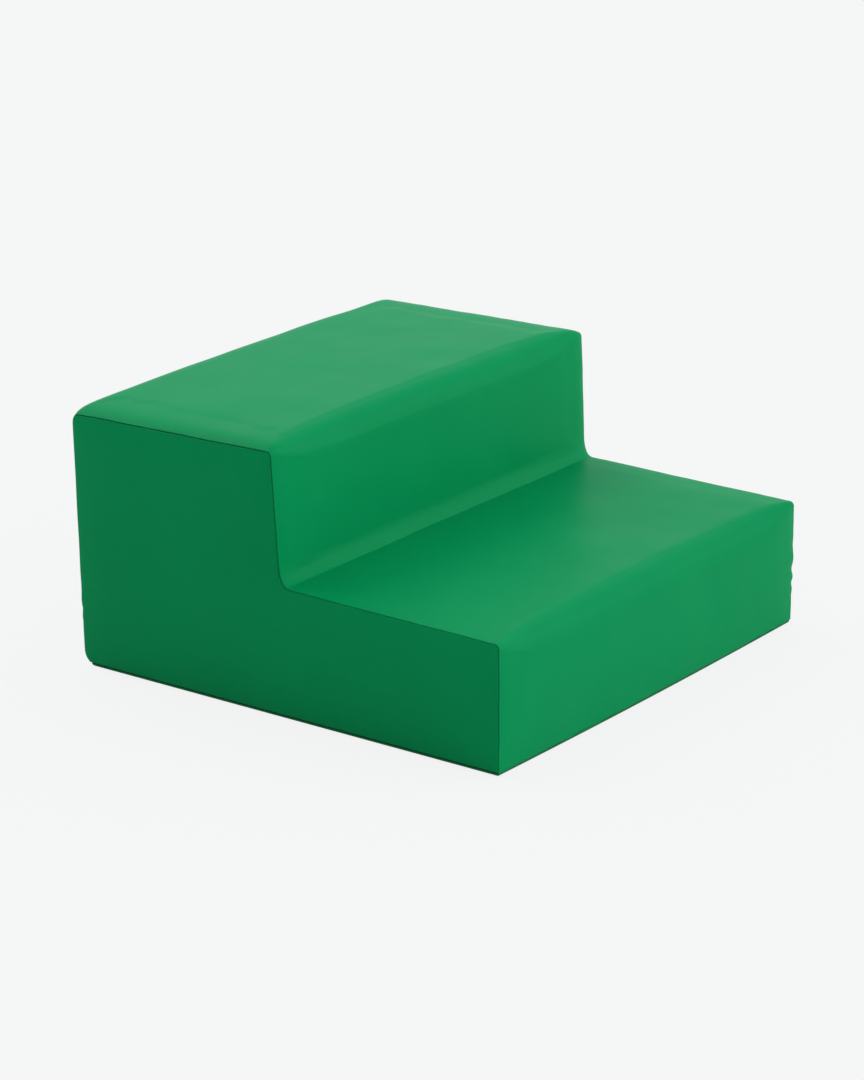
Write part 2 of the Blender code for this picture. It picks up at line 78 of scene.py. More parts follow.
# How far the foam pushes the front's bottom seam out, halfway along it
BOTTOM_BULGE = 3.5 * MM
SEAM_FOLD, FRONT_FOLD = 5 * MM, 26 * MM
TOP_BACK_SEAM_FOLD, TOP_FRONT_FOLD, TOP_BACK_FOLD = 12 * MM, 28 * MM, 17 * MM
FOLD_SPREAD = 35 * MM
SMALLEST_FOLD = 1.2 * MM
FOOT_REACH, FOOT_RISE, FOOT_LIFT = 13 * MM, 26 * MM, 11 * MM
BASE_SEAM_HEIGHT = BASE_HIGH.z
HEEL_REACH, HEEL_RISE, HEEL_FLOOR_REACH = 8 * MM, 16 * MM, 20 * MM
FRONT_SWELL_HEIGHT, BACK_SWELL_HEIGHT = 60 * MM, 90 * MM
ALLOWANCE = 5 * MM
GAP = 0.3 * MM
ZIP_HEIGHT = 40 * MM
ZIP_SLOT = 16 * MM

HALF_WIDTH = SEAM_WIDTH / 2
FRONT_LINE, BACK_LINE = -SEAM_DEPTH / 2, SEAM_DEPTH / 2
RISER_LINE = BACK_LINE - UPPER_DEPTH
QUARTER = math.pi / 2
SMOOTH_ANGLE = math.radians(50)


class ClimberCover(bpy.types.PropertyGroup):
    """The vinyl cover."""

    colour: FloatVectorProperty(
        name="Vinyl colour",
        description="Colour of the coated fabric",
        subtype="COLOR",
        size=3,
        min=0,
        max=1,
        default=(0.001, 0.262, 0.079),
    )
    roughness: FloatProperty(
        name="Vinyl roughness", description="How matt the vinyl is", min=0, max=1, default=0.40
    )
    thickness: FloatProperty(
        name="Vinyl thickness",
        description="Thickness of the coated fabric",
        unit="LENGTH",
        default=0.8 * MM,
    )
    seam_radius: FloatProperty(
        name="Seam radius",
        description="Radius at which a panel turns in at a seam",
        unit="LENGTH",
        default=0.5 * MM,
    )
    grain: FloatProperty(
        name="Grain size",
        description="Size of the embossed leather grain",
        unit="LENGTH",
        default=1.1 * MM,
    )
    pucker: FloatProperty(
        name="Pucker height",
        description="Height of the puckers beside the seams",
        unit="LENGTH",
        default=0.35 * MM,
    )
    wobble: FloatProperty(
        name="Seam wobble",
        description="How far a seam strays from a straight line",
        unit="LENGTH",
        default=0.5 * MM,
    )
    cell: FloatProperty(
        name="Mesh cell",
        description="Length of the mesh's cells away from the seams",
        unit="LENGTH",
        default=5.2 * MM,
    )


class ClimberStage(bpy.types.PropertyGroup):
    """The floor, the lights and the camera."""

    floor_level: FloatProperty(
        name="Floor level", description="Brightness of the pale floor", min=0, max=1, default=0.923
    )
    azimuth: FloatProperty(
        name="Azimuth",
        description="Camera's bearing, where 0 looks along +Y",
        subtype="ANGLE",
        default=math.radians(-52.03),
    )
    elevation: FloatProperty(
        name="Elevation",
        description="Camera's angle above the floor",
        subtype="ANGLE",
        default=math.radians(18.90),
    )
    roll: FloatProperty(
        name="Roll",
        description="Camera's turn about its own axis",
        subtype="ANGLE",
        default=math.radians(-1.234),
    )
    distance: FloatProperty(
        name="Distance",
        description="Camera's distance from its target",
        unit="LENGTH",
        default=4.3017,
    )
    lens: FloatProperty(
        name="Lens", description="Camera's focal length", unit="CAMERA", default=122.6
    )


def cover():
    return bpy.context.scene.climber_cover


def stage():
    return bpy.context.scene.climber_stage


# Shader maths


class Term:
    """A shader socket that sums can be written with."""

    def __init__(self, nodes, socket):
        self.nodes = nodes
        self.socket = socket

    def maths(self, operation, *terms):
        settings = {"operation": operation}
        return self.nodes.add("ShaderNodeMath", settings, dict(enumerate(terms))).out()

    def __add__(self, other):
        return self.maths("ADD", self, other)

    __radd__ = __add__

    def __mul__(self, other):
        return self.maths("MULTIPLY", self, other)

    __rmul__ = __mul__

    def __sub__(self, other):
        return self.maths("SUBTRACT", self, other)

    def __rsub__(self, other):
        return self.maths("SUBTRACT", other, self)

    def clamped(self):
        return self.maths("MINIMUM", self.maths("MAXIMUM", self, 0.0), 1.0)


class Added:
    """A node, with its outputs as terms."""

    def __init__(self, nodes, node):
        self.nodes = nodes
        self.node = node

    def out(self, name=0):
        return Term(self.nodes, self.node.outputs[name])


class Nodes:
    """A node tree being built up."""

    def __init__(self, tree):
        self.tree = tree

    def link(self, value, socket):
        if isinstance(value, Term):
            self.tree.links.new(value.socket, socket)
        else:
            socket.default_value = value

    def add(self, kind, settings=None, sockets=None):
        node = self.tree.nodes.new(kind)
        for key, value in (settings or {}).items():
            setattr(node, key, value)
        for key, value in (sockets or {}).items():
            self.link(value, node.inputs[key])
        return Added(self, node)


# A Mix node's sockets for colours, whose names its other kinds of data share
MIX_FIRST, MIX_SECOND, MIXED = 6, 7, 2


class Finish(Nodes):
    """A material being built up from nodes."""

    def __init__(self, name):
        self.material = bpy.data.materials.new(name)
        self.material.use_nodes = True
        super().__init__(self.material.node_tree)
        self.shader = self.tree.nodes["Principled BSDF"]
        self.place = self.add("ShaderNodeTexCoord").out("Object")

    def mix(self, share, first, second):
        """A colour between two colours."""
        ends = {MIX_FIRST: self.colour(first), MIX_SECOND: self.colour(second)}
        return self.add("ShaderNodeMix", {"data_type": "RGBA"}, {"Factor": share, **ends}).out(MIXED)

    def shades(self, share, colour, first, second):
        """A colour between two levels of this one."""
        return self.mix(share, scaled(colour, first), scaled(colour, second))

    def colour(self, value):
        return value if isinstance(value, Term) else (*value, 1.0)

    def noise(self, size, detail=2.0):
        """Noise from 0 to 1, whose features are about this size."""
        sockets = {"Vector": self.place, "Scale": 1 / size, "Detail": detail}
        return self.add("ShaderNodeTexNoise", None, sockets).out("Fac")

    def cells(self, size, feature="F1"):
        """How far each place is from the middle of its cell."""
        sockets = {"Vector": self.place, "Scale": 1 / size}
        return self.add("ShaderNodeTexVoronoi", {"feature": feature}, sockets).out("Distance")

    def attribute(self, name):
        return self.add("ShaderNodeAttribute", {"attribute_name": name}).out("Fac")

    def bump(self, height, distance, strength):
        sockets = {"Height": height, "Distance": distance, "Strength": strength}
        self.set("Normal", self.add("ShaderNodeBump", None, sockets).out())

    def gloss(self, roughness, specular):
        self.set("Roughness", roughness)
        self.set("Specular IOR Level", specular)

    def set(self, socket, value):
        self.link(value, self.shader.inputs[socket])


def scaled(colour, level):
    return tuple(min(channel * level, 1.0) for channel in colour)


# Materials

FOAM_COLOUR = (0.72, 0.66, 0.50)
# The base's colour: the cover's green, darkened as painted shade where the base meets the floor
SHADED_BASE_COLOUR = (0.008, 0.150, 0.050)
THREAD_COLOUR = (0.004, 0.165, 0.054)
TAPE_COLOUR = (0.008, 0.120, 0.042)
COIL_COLOUR = (0.010, 0.150, 0.055)
METAL_COLOUR = (0.60, 0.60, 0.59)
# How much light the vinyl and the fabrics reflect as gloss
VINYL_SPECULAR, CLOTH_SPECULAR = 0.025, 0.1
VINYL_PATCH, VINYL_SMUDGE = 110 * MM, 35 * MM
PATCH_ROUGHNESS, SMUDGE_ROUGHNESS = 0.06, 0.08
# How far from a seam the painted shade and dirt in its groove reach, and how strongly they darken the
# vinyl
GROOVE_DIRT_AND_SHADE_WIDTH, GROOVE_DIRT_AND_SHADE_SHARE = 1.3 * MM, 0.20
PEBBLE_SHARE, PORE_SHARE = 0.7, 0.3
GRAIN_DEPTH, GRAIN_STRENGTH = 0.05 * MM, 0.35
FOAM_PATCH, FOAM_CELL, FOAM_DEPTH = 60 * MM, 1.6 * MM, 0.4 * MM
BASE_WEAVE, BASE_DEPTH, BASE_DUST = 1.2 * MM, 0.25 * MM, 50 * MM
TAPE_WEAVE, TAPE_DEPTH = 0.5 * MM, 0.12 * MM
NYLON_PATCH, NYLON_GRAIN, NYLON_DEPTH = 4 * MM, 0.4 * MM, 0.02 * MM
THREAD_PLY, THREAD_DEPTH = 0.35 * MM, 0.08 * MM
METAL_PATCH, METAL_GRAIN, METAL_DEPTH = 2.5 * MM, 0.5 * MM, 0.02 * MM


def vinyl_finish():
    """Coated fabric with a fine embossed grain, a little duller where it is handled, and with painted
    shade and dirt in the seams' grooves.
    """
    colour = cover().colour
    finish = Finish("vinyl_finish")
    patches = finish.noise(VINYL_PATCH, 3.0)
    body = finish.shades(patches, colour, 0.95, 1.05)
    # Painted shade and dirt: the colour darkens towards 60% of itself close to each seam
    groove = (1 - finish.attribute("seam_distance") * (1 / GROOVE_DIRT_AND_SHADE_WIDTH)).clamped()
    finish.set("Base Color", finish.mix(groove * GROOVE_DIRT_AND_SHADE_SHARE, body, scaled(colour, 0.60)))
    smudge = finish.noise(VINYL_SMUDGE, 4.0)
    least = cover().roughness - (PATCH_ROUGHNESS + SMUDGE_ROUGHNESS) / 2
    roughness = smudge * SMUDGE_ROUGHNESS + patches * PATCH_ROUGHNESS + least
    finish.gloss(roughness, VINYL_SPECULAR)
    pebble = finish.cells(cover().grain, "SMOOTH_F1")
    pores = finish.noise(cover().grain / 3, 3.0)
    finish.bump(pebble * PEBBLE_SHARE + pores * PORE_SHARE, GRAIN_DEPTH, GRAIN_STRENGTH)
    return finish.material


def foam_finish():
    """Open-cell polyurethane foam."""
    finish = Finish("foam_finish")
    tone = finish.noise(FOAM_PATCH)
    finish.set("Base Color", finish.shades(tone, FOAM_COLOUR, 0.92, 1.04))
    finish.set("Roughness", 0.95)
    finish.bump(finish.cells(FOAM_CELL), FOAM_DEPTH, 0.6)
    return finish.material


def weave(finish, pitch):
    """Height of a plain weave in the X-Z and X-Y planes, from 0 to 1."""
    waves = []
    for direction in ("X", "Y", "Z"):
        sockets = {"Vector": finish.place, "Scale": 1 / (2 * pitch)}
        settings = {"wave_type": "BANDS", "bands_direction": direction}
        waves.append(finish.add("ShaderNodeTexWave", settings, sockets).out("Fac"))
    return (waves[0] + waves[1] + waves[2]) * (1 / len(waves))


def base_finish():
    """Coated base fabric with a coarse weave, in the cover's green darkened as painted shade."""
    finish = Finish("base_finish")
    woven = weave(finish, BASE_WEAVE)
    dust = finish.noise(BASE_DUST, 4.0)
    tone = finish.shades(dust, SHADED_BASE_COLOUR, 0.8, 1.3)
    finish.set("Base Color", finish.mix(woven * 0.4, tone, scaled(SHADED_BASE_COLOUR, 1.8)))
    finish.gloss(dust * 0.15 + 0.68, CLOTH_SPECULAR)
    finish.bump(woven, BASE_DEPTH, 0.8)
    return finish.material


def tape_finish():
    """Woven zip tape."""
    finish = Finish("tape_finish")
    woven = weave(finish, TAPE_WEAVE)
    finish.set("Base Color", finish.shades(woven, TAPE_COLOUR, 0.6, 1.3))
    finish.gloss(0.85, CLOTH_SPECULAR)
    finish.bump(woven, TAPE_DEPTH, 0.9)
    return finish.material


def nylon_finish():
    """Smooth nylon wire."""
    finish = Finish("nylon_finish")
    tone = finish.noise(NYLON_PATCH)
    finish.set("Base Color", finish.shades(tone, COIL_COLOUR, 0.85, 1.15))
    finish.set("Roughness", tone * 0.1 + 0.30)
    finish.bump(finish.noise(NYLON_GRAIN), NYLON_DEPTH, 0.3)
    return finish.material


def thread_finish():
    """Twisted sewing thread."""
    finish = Finish("thread_finish")
    ply = finish.noise(THREAD_PLY, 1.0)
    finish.set("Base Color", finish.shades(ply, THREAD_COLOUR, 0.6, 1.5))
    finish.gloss(0.6, CLOTH_SPECULAR)
    finish.bump(ply, THREAD_DEPTH, 0.8)
    return finish.material


def metal_finish():
    """Die-cast zinc, rubbed brighter in patches."""
    finish = Finish("metal_finish")
    rubbed = finish.noise(METAL_PATCH, 4.0)
    finish.set("Base Color", finish.shades(rubbed, METAL_COLOUR, 0.75, 1.15))
    finish.set("Metallic", 1.0)
    finish.set("Roughness", rubbed * 0.16 + 0.22)
    finish.bump(finish.noise(METAL_GRAIN), METAL_DEPTH, 0.35)
    return finish.material


# Runs of points along the form. Each leaves out its last point, where the next run starts.


def clamp(share):
    return min(max(share, 0.0), 1.0)


def eased(share):
    share = clamp(share)
    return share * share * (3 - 2 * share)


def rising(distance, reach):
    """From 0 where there is no distance towards 1 far beyond this reach."""
    return 1 - math.exp(-max(distance, 0.0) / reach)


FINEST = 0.8 * MM
GROWTH_SHARE = 1.3


def graded(length, fine_start, fine_end, cell_share=1):
    """Shares along a run of this length, closer together at its fine ends."""
    cell = cover().cell * cell_share
    if not fine_start and not fine_end:
        steps = [cell] * max(round(length / cell), 1)
    else:
        reach = length / 2 if fine_start and fine_end else length
        steps, size = [], FINEST
        while sum(steps) < reach:
            steps.append(size)
            size = min(size * GROWTH_SHARE, cell)
        if fine_end:
            steps = (steps if fine_start else []) + steps[::-1]
    total, shares = 0.0, []
    for step in steps:
        shares.append(total / sum(steps))
        total += step
    return shares


def between(start, end, shares):
    return [tuple(a + (b - a) * share for a, b in zip(start, end)) for share in shares]


def arc(centre, radius, first, last, steps):
    """An arc in the Y-Z plane, from the first angle to the last, measured from +Y towards +Z."""
    angles = [first + (last - first) * i / steps for i in range(steps)]
    return [(centre[0] + radius * math.cos(a), centre[1] + radius * math.sin(a)) for a in angles]


def bend(start, control, end, steps):
    """A bend that leaves its start, and reaches its end, along the lines to its control point."""
    points = []
    for i in range(steps):
        t = i / steps
        weights = ((1 - t) ** 2, 2 * t * (1 - t), t**2)
        ends = (start, control, end)
        points.append(tuple(sum(w * p[k] for w, p in zip(weights, ends)) for k in (0, 1)))
    return points


FOLD_STEPS, FOOT_STEPS, HEEL_STEPS, ROLL_STEPS = 18, 14, 8, 7
TURN_SLICES = 10


def gentle_turn():
    """A quarter turn that bends gradually, from (0, 0) along the first axis to (1, 1)."""
    along, across, points = 0.0, 0.0, []
    count = FOLD_STEPS * TURN_SLICES
    for i in range(count):
        if i % TURN_SLICES == 0:
            points.append((along, across))
        angle = QUARTER * eased((i + 1 / 2) / count)
        along += math.cos(angle)
        across += math.sin(angle)
    return [(a / along, b / across) for a, b in points]


TURN = gentle_turn()
TURN_MIDDLE = TURN[FOLD_STEPS // 2]
# The turn's reach for a radius of 1, so that it cuts its corner as much as an arc does
TURN_REACH = (math.sqrt(2) - 1) / math.hypot(1 - TURN_MIDDLE[0], TURN_MIDDLE[1])


def fold_over(start, corner, end):
    """A gentle turn from start to end, round the corner between them."""
    ends = tuple(zip(start, corner, end))
    return [tuple(s + (c - s) * a + (e - c) * b for s, c, e in ends) for a, b in TURN]


def inward(x):
    """How far x is from the nearer side seam."""
    return HALF_WIDTH - abs(x)


def domed(x):
    """From 0 at each side seam to 1 halfway between them."""
    return 1 - min(abs(x) / HALF_WIDTH, 1.0) ** 2


def crown_share(x):
    """The share of a face's crown at x: a quick roll up from each side seam, then a slow dome."""
    return ROLL_SHARE * rising(inward(x), CROWN_ROLL) + (1 - ROLL_SHARE) * domed(x)


def fold_reach(x, depth, at_seam, halfway):
    """How far from its corner a fold starts."""
    radius = at_seam + (halfway - at_seam) * rising(inward(x), FOLD_SPREAD)
    return max(radius - depth, SMALLEST_FOLD) * TURN_REACH


def front_at(x, z, depth):
    swell = eased((z - BASE_SEAM_HEIGHT) / FRONT_SWELL_HEIGHT)
    return FRONT_LINE - FRONT_CROWN * crown_share(x) * swell + depth


def back_at(x, z, depth):
    swell = eased((z - ZIP_HEIGHT - ZIP_SLOT / 2) / BACK_SWELL_HEIGHT)
    return BACK_LINE + BACK_CROWN * crown_share(x) * swell - depth


def tread_at(x, depth):
    return TREAD_HEIGHT + TREAD_CROWN * crown_share(x) - depth


def riser_at(x, depth):
    return RISER_LINE - RISER_CROWN * crown_share(x) + depth


def top_at(x, depth):
    return SEAM_HEIGHT + TOP_CROWN * crown_share(x) - depth


def side_rise(y, z):
    """How far a side panel stands out from its seams at this place on it."""
    behind, under = y - RISER_LINE, TREAD_HEIGHT - z
    notch = math.hypot(behind, under)
    if behind <= 0:
        notch = under
    elif under <= 0:
        notch = behind
    distances = (y - FRONT_LINE, BACK_LINE - y, z - BASE_SEAM_HEIGHT, SEAM_HEIGHT - z, notch)
    roll = math.prod(rising(distance, CROWN_ROLL) for distance in distances)
    dome = math.prod(rising(distance, SIDE_SPREAD) for distance in distances)
    return SIDE_CROWN * (ROLL_SHARE * roll + (1 - ROLL_SHARE) * dome)


def upper_shares(y, z):
    """How far up the riser, and how far back on the upper step, this place is."""
    high = clamp((z - TREAD_HEIGHT) / (SEAM_HEIGHT - TREAD_HEIGHT))
    return high, clamp((y - RISER_LINE) / UPPER_DEPTH)


def settled(x, y, z):
    """Where the cover's pull moves a point: the faces tilt a little, and the back keeps its place."""
    low = clamp((z - BASE_SEAM_HEIGHT) / (TREAD_HEIGHT - BASE_SEAM_HEIGHT))
    ahead = clamp((RISER_LINE - y) / (RISER_LINE - FRONT_LINE))
    high, behind = upper_shares(y, z)
    lean = RISER_LEAN - LEAN_SKEW * x / HALF_WIDTH
    back = lean * high * (1 - behind) - FRONT_LEAN * low * ahead
    floorward = 1 - eased((z - BASE_SEAM_HEIGHT) / FRONT_SWELL_HEIGHT)
    back -= BOTTOM_BULGE * domed(x) * floorward * ahead
    up = TREAD_TILT * low * (1 - max(ahead, behind)) - TOP_FALL * high * behind
    return strayed(Vector((x, y + back, z + up)))


# Blender draws the noise vectors' offsets from a seed, which is the clock's unless it is set
WOBBLE_SEED = 7
WOBBLE_LENGTH = 55 * MM
STILL_HEIGHT = 30 * MM
# Where a seam is drawn up too tight: its side, its line, the middle height, the reach and the depth
TIGHT_SEAMS = (
    (1, FRONT_LINE, 72 * MM, 50 * MM, 1.2 * MM),
    (-1, BACK_LINE, 80 * MM, 40 * MM, 0.6 * MM),
)
DENT_PITCH = 24 * MM
DENT_SPREAD = 14 * MM


def dented(place):
    """The place moved in and out by the dents along the seams that are drawn up too tight."""
    for side, line, middle, reach, depth in TIGHT_SEAMS:
        away = math.hypot(place.x - side * HALF_WIDTH, place.y - line)
        near = math.exp(-away / DENT_SPREAD) * eased(1 - abs(place.z - middle) / reach)
        turns = place.z / DENT_PITCH + noise.noise(place / WOBBLE_LENGTH)
        dent = near * depth * math.sin(2 * math.pi * turns)
        place = place - Vector((side, math.copysign(1, line), 0)) * dent / math.sqrt(2)
    return place


def strayed(place):
    """The place moved by the cover's unevenness, which fades towards the floor and the zip."""
    free = eased((place.z - BASE_SEAM_HEIGHT) / STILL_HEIGHT)
    if place.y > BACK_LINE - STILL_HEIGHT:
        free *= eased((place.z - ZIP_HEIGHT - ZIP_SLOT) / STILL_HEIGHT)
    return dented(place + noise.noise_vector(place / WOBBLE_LENGTH) * cover().wobble * free)


FRONT_CELL_SHARE = 0.65


def front_runs(x, depth, bottom):
    """The front and the fold at its top, from this height up."""
    reach = fold_reach(x, depth, SEAM_FOLD, FRONT_FOLD)
    top = tread_at(x, depth)
    face = front_at(x, top, depth)
    shares = graded(TREAD_HEIGHT, True, False, FRONT_CELL_SHARE)
    heights = between((bottom,), (top - reach,), shares)
    front = [(front_at(x, z, depth), z) for (z,) in heights]
    return front, fold_over((face, top - reach), (face, top), (face + reach, top))


def fold_end(x, depth):
    """Y where the front fold meets the tread."""
    return front_at(x, tread_at(x, depth), depth) + fold_reach(x, depth, SEAM_FOLD, FRONT_FOLD)


def crease_at(x, depth):
    return (RISER_LINE - FOOT_REACH, tread_at(x, depth))


def tread_run(x, depth):
    crease = crease_at(x, depth)
    shares = graded(RISER_LINE - FRONT_LINE, False, True)
    return between((fold_end(x, depth), crease[1]), crease, shares)


def foot_run(x, depth):
    """The bridge from the crease up to the riser. At the side seams it is a plain curve."""
    lift = FOOT_LIFT * rising(inward(x), FOLD_SPREAD)
    riser = riser_at(x, depth)
    control = (riser, tread_at(x, depth) + lift)
    end = (riser, TREAD_HEIGHT + FOOT_RISE)
    return bend(crease_at(x, depth), control, end, FOOT_STEPS)


def upper_runs(x, depth):
    """The riser, the top with its two folds, and the height that the back starts at."""
    riser, top = riser_at(x, depth), top_at(x, depth)
    back = back_at(x, top, depth)
    front_reach = fold_reach(x, depth, SEAM_FOLD, TOP_FRONT_FOLD)
    back_reach = fold_reach(x, depth, TOP_BACK_SEAM_FOLD, TOP_BACK_FOLD)
    rise_end, over_start = (riser, top - front_reach), (riser + front_reach, top)
    over_end, back_start = (back - back_reach, top), (back, top - back_reach)
    rise_shares = graded(SEAM_HEIGHT - TREAD_HEIGHT, False, False)
    rise = between((riser, TREAD_HEIGHT + FOOT_RISE), rise_end, rise_shares)
    front_fold = fold_over(rise_end, (riser, top), over_start)
    over = between(over_start, over_end, graded(UPPER_DEPTH, False, False))
    back_fold = fold_over(over_end, (back, top), back_start)
    return rise + front_fold + over + back_fold, back_start[1]


def back_run(x, depth, first, last, fine_end):
    heights = between((first,), (last,), graded(SEAM_HEIGHT - ZIP_HEIGHT, False, fine_end))
    return [(back_at(x, z, depth), z) for (z,) in heights]


def heel_run(x, depth, bottom):
    """The bend at the bottom of the back, down to this height, and the point that it ends at."""
    share = max(1 - depth / HEEL_FLOOR_REACH, SMALLEST_FOLD / HEEL_RISE)
    reach, rise = HEEL_REACH * share, HEEL_RISE * share
    back = back_at(x, bottom, depth)
    control = (back, bottom + rise * HEEL_REACH / HEEL_FLOOR_REACH)
    end = (back - reach, bottom)
    return bend((back, bottom + rise), control, end, HEEL_STEPS), end


# Sheets

# How far a panel turns in at a seam
SEAM_TURN = 3 * math.pi / 4


def turned_edge():
    """A panel's edge at a seam, as (inset, sunk) pairs: the allowance's end, then its round turn."""
    radius = cover().seam_radius
    reach = radius / math.tan((math.pi - SEAM_TURN) / 2)
    pairs = [(ALLOWANCE, ALLOWANCE)]
    for i in range(ROLL_STEPS + 1):
        angle = SEAM_TURN * (1 - i / ROLL_STEPS)
        pairs.append((reach - radius * math.sin(angle), radius * (1 - math.cos(angle))))
    return pairs


def panel_rows(reach):
    """(inset, sunk) for each row of a panel, from its turned edge to this far in."""
    pairs = turned_edge()
    start = pairs.pop()[0]
    insets = between((start,), (reach,), graded(reach, True, False))
    return pairs + [(inset, 0.0) for (inset,) in insets] + [(reach, 0.0)]


def mesh_of(name, shape):
    """The mesh of a finished bmesh."""
    mesh = bpy.data.meshes.new(name)
    shape.to_mesh(mesh)
    shape.free()
    return mesh


def placed(name, data):
    """A new object in the scene, with this data."""
    item = bpy.data.objects.new(name, data)
    bpy.context.scene.collection.objects.link(item)
    return item


def add_piece(name, shape, material):
    """The object of a finished bmesh, riding on the climber's fixed body."""
    mesh = mesh_of(name, shape)
    mesh.shade_smooth()
    mesh.set_sharp_from_angle(angle=SMOOTH_ANGLE)
    piece = placed(name, mesh)
    mesh.materials.append(material)
    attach(piece, "root")
    return piece


def thicken(piece, thickness):
    """Give a sheet its thickness, behind its outer face."""
    wall = piece.modifiers.new("Thickness", "SOLIDIFY")
    wall.thickness = thickness
    wall.offset = -1
    wall.use_rim = True


# The puckers' waves, as each one's length along the seam, its reach from it, its slice of the noise
# and its share of the height
PUCKERS = ((17 * MM, 60 * MM, 0.5, 2.0), (7 * MM, 25 * MM, 9.5, 0.6))
PUCKER_START, PUCKER_FADE = 2.5 * MM, 15 * MM
# The foam's swells, as each one's length and height
SWELLS = ((95 * MM, 0.8 * MM), (38 * MM, 0.15 * MM))
SWELL_START = 20 * MM


def pucker_height(along, inset):
    """Height of the puckers at this inset from a seam, at this place along it."""
    height = 0.0
    for length, reach, level, share in PUCKERS:
        height += noise.noise(Vector((along / length, inset / reach, level))) * share
    rise = rising(inset, PUCKER_START) * math.exp(-inset / PUCKER_FADE)
    return cover().pucker * rise * height


def uneven(place):
    """Slow swells of the foam under the sheet."""
    return sum(noise.noise(place / length) * height for length, height in SWELLS)


# The pull of the sewing, as cloth: the seams are shorter than the vinyl that they gather
SIM_FRAMES = 14
SIM_QUALITY = 4
VERTEX_MASS = 0.05
TENSION, SHEAR, BENDING = 60.0, 15.0, 0.10
PRESSURE = 3.0
SEWN_WIDTH = 1.5 * MM
GATHER_SHARE = 0.05
GATHER_REACH = 25 * MM
PULL_OUT_CAP, PULL_IN_CAP = 0.6 * MM, 0.25 * MM


def add_cloth(sheet):
    """The sewing's pull on a sheet, as cloth whose held and gathered points are in its groups."""
    cloth = sheet.modifiers.new("Pull", "CLOTH")
    cloth.collision_settings.use_collision = False
    cloth.point_cache.frame_end = SIM_FRAMES
    settings = cloth.settings
    settings.quality = SIM_QUALITY
    settings.mass = VERTEX_MASS
    settings.tension_stiffness = settings.compression_stiffness = TENSION
    settings.shear_stiffness = SHEAR
    settings.bending_stiffness = BENDING
    settings.use_pressure = True
    settings.uniform_pressure_force = PRESSURE
    settings.vertex_group_mass = "held"
    settings.vertex_group_shrink = "gathered"
    settings.shrink_min, settings.shrink_max = 0.0, -GATHER_SHARE
    settings.effector_weights.gravity = 0


def pulled(shape, edge):
    """How far the cloth's pull moves each point of a sheet whose edges are sewn down."""
    mesh = bpy.data.meshes.new("pull")
    shape.to_mesh(mesh)
    sheet = placed("pull", mesh)
    held = sheet.vertex_groups.new(name="held")
    gathered = sheet.vertex_groups.new(name="gathered")
    for i, vert in enumerate(shape.verts):
        if vert[edge] <= SEWN_WIDTH:
            held.add([i], 1.0, "REPLACE")
        gathered.add([i], math.exp(-vert[edge] / GATHER_REACH), "REPLACE")
    add_cloth(sheet)
    scene = bpy.context.scene
    for number in range(1, SIM_FRAMES + 1):
        scene.frame_set(number)
    result = sheet.evaluated_get(bpy.context.evaluated_depsgraph_get()).data
    moves = [after.co - before.co for after, before in zip(result.vertices, mesh.vertices)]
    scene.frame_set(1)
    bpy.data.objects.remove(sheet)
    bpy.data.meshes.remove(mesh)
    return moves


def raise_sheet(shape, seam, along, edge):
    """Lift each point off the form by the pull of the sewing and the foam's slow swells."""
    shape.normal_update()
    moves = pulled(shape, edge)
    lifts = []
    for i, vert in enumerate(shape.verts):
        free = rising(vert[seam] - cover().seam_radius, SWELL_START)
        lift = pucker_height(vert[along], vert[seam]) + uneven(vert.co) * free
        if moves:
            move = moves[i].dot(vert.normal)
            cap = PULL_OUT_CAP if move > 0 else PULL_IN_CAP
            lift += cap * math.tanh(move / cap)
        lifts.append(vert.normal * lift)
    for vert, lift in zip(shape.verts, lifts):
        vert.co += lift


def running_lengths(places):
    """How far along a run of places each of them is."""
    lengths = [0.0]
    for first, second in zip(places, places[1:]):
        lengths.append(lengths[-1] + (second - first).length)
    return lengths


def wrap_rows(path_at):
    """A wrap's rows from one side seam to the other, and the places along each."""
    *half, middle = panel_rows(HALF_WIDTH)
    rows = [(-1, *pair) for pair in half] + [(0, *middle)]
    rows += [(1, *pair) for pair in reversed(half)]
    table = []
    for side, inset, sunk in rows:
        x = side * (HALF_WIDTH - inset)
        shift = side * GAP / math.sqrt(2)
        table.append([settled(x - shift, y, z) for y, z in path_at(x, sunk)])
    return rows, table


def wrap_sheet(name, path_at, material):
    """A panel that wraps round from one side seam to the other, shaped from a flat grid."""
    rows, table = wrap_rows(path_at)
    lengths = running_lengths(table[len(table) // 2])
    shape = bmesh.new()
    last_row, last_point = len(table) - 1, len(lengths) - 1
    bmesh.ops.create_grid(shape, x_segments=last_row, y_segments=last_point, size=1.0)
    seam = shape.verts.layers.float.new("seam_distance")
    along = shape.verts.layers.float.new("along")
    edge = shape.verts.layers.float.new("edge_distance")
    for vert in shape.verts:
        row = round((vert.co.x + 1) / 2 * last_row)
        point = round((vert.co.y + 1) / 2 * last_point)
        vert.co = table[row][point]
        vert[seam] = rows[row][1] if rows[row][2] == 0 else 0.0
        vert[along] = lengths[point]
        vert[edge] = min(vert[seam], lengths[point], lengths[-1] - lengths[point])
    raise_sheet(shape, seam, along, edge)
    piece = add_piece(name, shape, material)
    thicken(piece, cover().thickness)
    return piece, lengths[-1]


